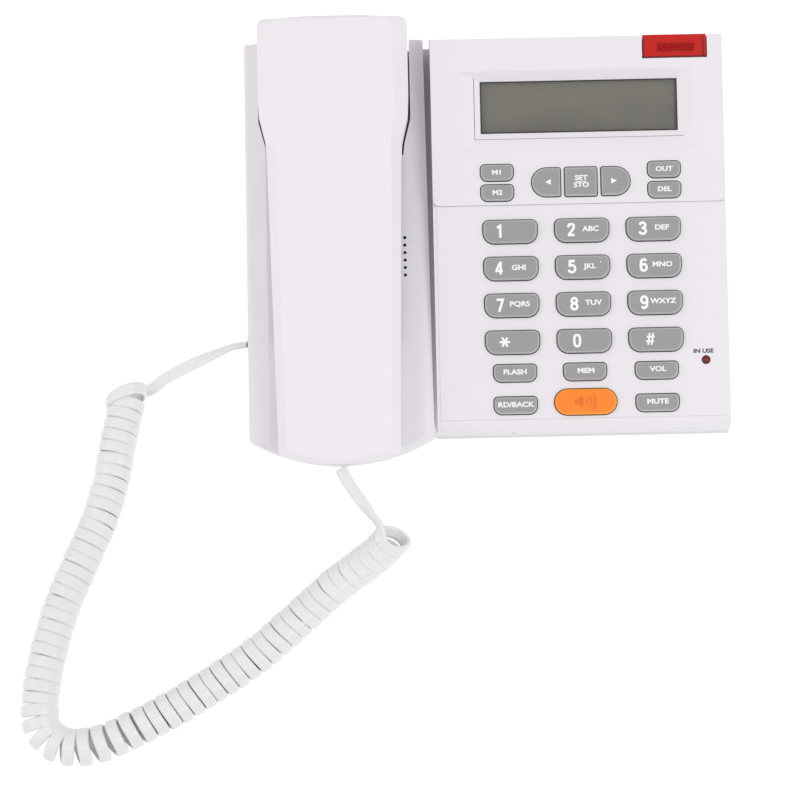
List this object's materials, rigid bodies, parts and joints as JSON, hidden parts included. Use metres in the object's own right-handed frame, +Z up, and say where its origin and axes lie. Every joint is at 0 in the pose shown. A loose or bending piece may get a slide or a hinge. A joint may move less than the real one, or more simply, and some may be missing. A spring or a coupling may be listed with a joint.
{
  "type": "corded desk telephone",
  "caption": "Corded desk telephone: wedge base with sloping key panel and flat display, a handset lying in a cradle at the left, and a curly cord on the table.",
  "frame": {"origin": "on the table, under the middle of the telephone without its cord", "axes": "+X to the user's right across the base, +Y away from the user, +Z up from the table"},
  "size_m": [0.2929, 0.304, 0.0619],
  "materials": {
    "white_plastic": "moulded white plastic with a fine satin gloss",
    "bone_plastic": "moulded light grey plastic, satin",
    "grey_key_plastic": "mid grey key plastic, satin",
    "orange_key_plastic": "orange key plastic, satin",
    "clear_window": "clear flat plastic, polished",
    "lcd_glass": "grey-olive display glass, switched off",
    "red_lens": "translucent red plastic, finely ribbed",
    "red_led": "dark red diffused lamp",
    "circuit_board": "green solder mask",
    "dome_rubber": "translucent grey silicone",
    "black_plastic": "black plastic",
    "steel": "plated steel",
    "jack_plastic": "light grey plastic",
    "battery_jacket": "plain printed cell jacket",
    "foot_rubber": "dark grey rubber",
    "clear_plug_plastic": "clear plug plastic",
    "cord_jacket": "soft white plastic jacket, satin"
  },
  "bodies": {
    "base": {"base_top_housing": "white_plastic", "base_bottom_housing": "bone_plastic", "display_fascia": "white_plastic", "display_window": "clear_window", "lcd_module": "lcd_glass", "ringer_lamp_lens": "red_lens", "lamp_led": "red_led", "in_use_led": "red_led", "main_board": "circuit_board", "keypad_dome_sheet": "dome_rubber", "base_speaker": "black_plastic", "speakerphone_microphone": "black_plastic", "hook_pivot_pin": "steel", "hook_spring": "steel", "hook_microswitch": "black_plastic", "handset_cord_jack": "jack_plastic", "line_jack": "black_plastic", "battery_door": "bone_plastic", "battery_cells": "battery_jacket", "battery_contacts": "steel", "rubber_feet": "foot_rubber", "base_screws": "steel", "plug_base": "clear_plug_plastic", "cord_lead_handset": "cord_jacket", "cord_curl": "cord_jacket", "cord_lead_base": "cord_jacket"},
    "handset": {"handset_top_shell": "white_plastic", "handset_bottom_shell": "white_plastic", "receiver_capsule": "black_plastic", "microphone_capsule": "steel", "handset_weight": "steel", "handset_socket": "jack_plastic", "handset_screws": "steel", "plug_handset": "clear_plug_plastic"},
    "hook": {"hook_lever": "bone_plastic"},
    "key_1": {"key_1": "grey_key_plastic"},
    "key_2": {"key_2": "grey_key_plastic"},
    "key_3": {"key_3": "grey_key_plastic"},
    "key_4": {"key_4": "grey_key_plastic"},
    "key_5": {"key_5": "grey_key_plastic"},
    "key_6": {"key_6": "grey_key_plastic"},
    "key_7": {"key_7": "grey_key_plastic"},
    "key_8": {"key_8": "grey_key_plastic"},
    "key_9": {"key_9": "grey_key_plastic"},
    "key_star": {"key_star": "grey_key_plastic"},
    "key_0": {"key_0": "grey_key_plastic"},
    "key_hash": {"key_hash": "grey_key_plastic"},
    "key_flash": {"key_flash": "grey_key_plastic"},
    "key_mem": {"key_mem": "grey_key_plastic"},
    "key_vol": {"key_vol": "grey_key_plastic"},
    "key_redial_back": {"key_redial_back": "grey_key_plastic"},
    "key_mute": {"key_mute": "grey_key_plastic"},
    "key_speaker": {"key_speaker": "orange_key_plastic"},
    "key_m1": {"key_m1": "grey_key_plastic"},
    "key_m2": {"key_m2": "grey_key_plastic"},
    "key_out": {"key_out": "grey_key_plastic"},
    "key_del": {"key_del": "grey_key_plastic"},
    "key_left": {"key_left": "grey_key_plastic"},
    "key_set": {"key_set": "grey_key_plastic"},
    "key_right": {"key_right": "grey_key_plastic"}
  },
  "joints": [
    {"name": "handset_lift", "type": "slide", "parent": "base", "child": "handset", "axis": [0, -0.1478, 0.989], "range_m": [0, 0.06]},
    {"name": "hook_press", "type": "hinge", "parent": "base", "child": "hook", "pos_m": [-0.062, 0.0234, 0.0126], "axis": [1, 0, 0], "range_deg": [0, 9.6], "deforming": ["hook_spring"]},
    {"name": "key_1_press", "type": "slide", "parent": "base", "child": "key_1", "axis": [0, 0.2164, -0.9763], "range_m": [0, 0.0012], "stiffness_N_per_m": 300, "springref_m": -0.0005, "deforming": ["keypad_dome_sheet"]},
    {"name": "key_2_press", "type": "slide", "parent": "base", "child": "key_2", "axis": [0, 0.2164, -0.9763], "range_m": [0, 0.0012], "stiffness_N_per_m": 300, "springref_m": -0.0005, "deforming": ["keypad_dome_sheet"]},
    {"name": "key_3_press", "type": "slide", "parent": "base", "child": "key_3", "axis": [0, 0.2164, -0.9763], "range_m": [0, 0.0012], "stiffness_N_per_m": 300, "springref_m": -0.0005, "deforming": ["keypad_dome_sheet"]},
    {"name": "key_4_press", "type": "slide", "parent": "base", "child": "key_4", "axis": [0, 0.2164, -0.9763], "range_m": [0, 0.0012], "stiffness_N_per_m": 300, "springref_m": -0.0005, "deforming": ["keypad_dome_sheet"]},
    {"name": "key_5_press", "type": "slide", "parent": "base", "child": "key_5", "axis": [0, 0.2164, -0.9763], "range_m": [0, 0.0012], "stiffness_N_per_m": 300, "springref_m": -0.0005, "deforming": ["keypad_dome_sheet"]},
    {"name": "key_6_press", "type": "slide", "parent": "base", "child": "key_6", "axis": [0, 0.2164, -0.9763], "range_m": [0, 0.0012], "stiffness_N_per_m": 300, "springref_m": -0.0005, "deforming": ["keypad_dome_sheet"]},
    {"name": "key_7_press", "type": "slide", "parent": "base", "child": "key_7", "axis": [0, 0.2164, -0.9763], "range_m": [0, 0.0012], "stiffness_N_per_m": 300, "springref_m": -0.0005, "deforming": ["keypad_dome_sheet"]},
    {"name": "key_8_press", "type": "slide", "parent": "base", "child": "key_8", "axis": [0, 0.2164, -0.9763], "range_m": [0, 0.0012], "stiffness_N_per_m": 300, "springref_m": -0.0005, "deforming": ["keypad_dome_sheet"]},
    {"name": "key_9_press", "type": "slide", "parent": "base", "child": "key_9", "axis": [0, 0.2164, -0.9763], "range_m": [0, 0.0012], "stiffness_N_per_m": 300, "springref_m": -0.0005, "deforming": ["keypad_dome_sheet"]},
    {"name": "key_star_press", "type": "slide", "parent": "base", "child": "key_star", "axis": [0, 0.2164, -0.9763], "range_m": [0, 0.0012], "stiffness_N_per_m": 300, "springref_m": -0.0005, "deforming": ["keypad_dome_sheet"]},
    {"name": "key_0_press", "type": "slide", "parent": "base", "child": "key_0", "axis": [0, 0.2164, -0.9763], "range_m": [0, 0.0012], "stiffness_N_per_m": 300, "springref_m": -0.0005, "deforming": ["keypad_dome_sheet"]},
    {"name": "key_hash_press", "type": "slide", "parent": "base", "child": "key_hash", "axis": [0, 0.2164, -0.9763], "range_m": [0, 0.0012], "stiffness_N_per_m": 300, "springref_m": -0.0005, "deforming": ["keypad_dome_sheet"]},
    {"name": "key_flash_press", "type": "slide", "parent": "base", "child": "key_flash", "axis": [0, 0.2164, -0.9763], "range_m": [0, 0.0012], "stiffness_N_per_m": 300, "springref_m": -0.0005, "deforming": ["keypad_dome_sheet"]},
    {"name": "key_mem_press", "type": "slide", "parent": "base", "child": "key_mem", "axis": [0, 0.2164, -0.9763], "range_m": [0, 0.0012], "stiffness_N_per_m": 300, "springref_m": -0.0005, "deforming": ["keypad_dome_sheet"]},
    {"name": "key_vol_press", "type": "slide", "parent": "base", "child": "key_vol", "axis": [0, 0.2164, -0.9763], "range_m": [0, 0.0012], "stiffness_N_per_m": 300, "springref_m": -0.0005, "deforming": ["keypad_dome_sheet"]},
    {"name": "key_redial_back_press", "type": "slide", "parent": "base", "child": "key_redial_back", "axis": [0, 0.2164, -0.9763], "range_m": [0, 0.0012], "stiffness_N_per_m": 300, "springref_m": -0.0005, "deforming": ["keypad_dome_sheet"]},
    {"name": "key_mute_press", "type": "slide", "parent": "base", "child": "key_mute", "axis": [0, 0.2164, -0.9763], "range_m": [0, 0.0012], "stiffness_N_per_m": 300, "springref_m": -0.0005, "deforming": ["keypad_dome_sheet"]},
    {"name": "key_speaker_press", "type": "slide", "parent": "base", "child": "key_speaker", "axis": [0, 0.2164, -0.9763], "range_m": [0, 0.0012], "stiffness_N_per_m": 300, "springref_m": -0.0005, "deforming": ["keypad_dome_sheet"]},
    {"name": "key_m1_press", "type": "slide", "parent": "base", "child": "key_m1", "axis": [0, 0.2164, -0.9763], "range_m": [0, 0.0012], "stiffness_N_per_m": 300, "springref_m": -0.0005, "deforming": ["keypad_dome_sheet"]},
    {"name": "key_m2_press", "type": "slide", "parent": "base", "child": "key_m2", "axis": [0, 0.2164, -0.9763], "range_m": [0, 0.0012], "stiffness_N_per_m": 300, "springref_m": -0.0005, "deforming": ["keypad_dome_sheet"]},
    {"name": "key_out_press", "type": "slide", "parent": "base", "child": "key_out", "axis": [0, 0.2164, -0.9763], "range_m": [0, 0.0012], "stiffness_N_per_m": 300, "springref_m": -0.0005, "deforming": ["keypad_dome_sheet"]},
    {"name": "key_del_press", "type": "slide", "parent": "base", "child": "key_del", "axis": [0, 0.2164, -0.9763], "range_m": [0, 0.0012], "stiffness_N_per_m": 300, "springref_m": -0.0005, "deforming": ["keypad_dome_sheet"]},
    {"name": "key_left_press", "type": "slide", "parent": "base", "child": "key_left", "axis": [0, 0.2164, -0.9763], "range_m": [0, 0.0012], "stiffness_N_per_m": 300, "springref_m": -0.0005, "deforming": ["keypad_dome_sheet"]},
    {"name": "key_set_press", "type": "slide", "parent": "base", "child": "key_set", "axis": [0, 0.2164, -0.9763], "range_m": [0, 0.0012], "stiffness_N_per_m": 300, "springref_m": -0.0005, "deforming": ["keypad_dome_sheet"]},
    {"name": "key_right_press", "type": "slide", "parent": "base", "child": "key_right", "axis": [0, 0.2164, -0.9763], "range_m": [0, 0.0012], "stiffness_N_per_m": 300, "springref_m": -0.0005, "deforming": ["keypad_dome_sheet"]}
  ],
  "couplings": [
    {"joint": "hook_press", "follows": "handset_lift", "rad_per_m": 2.75}
  ]
}
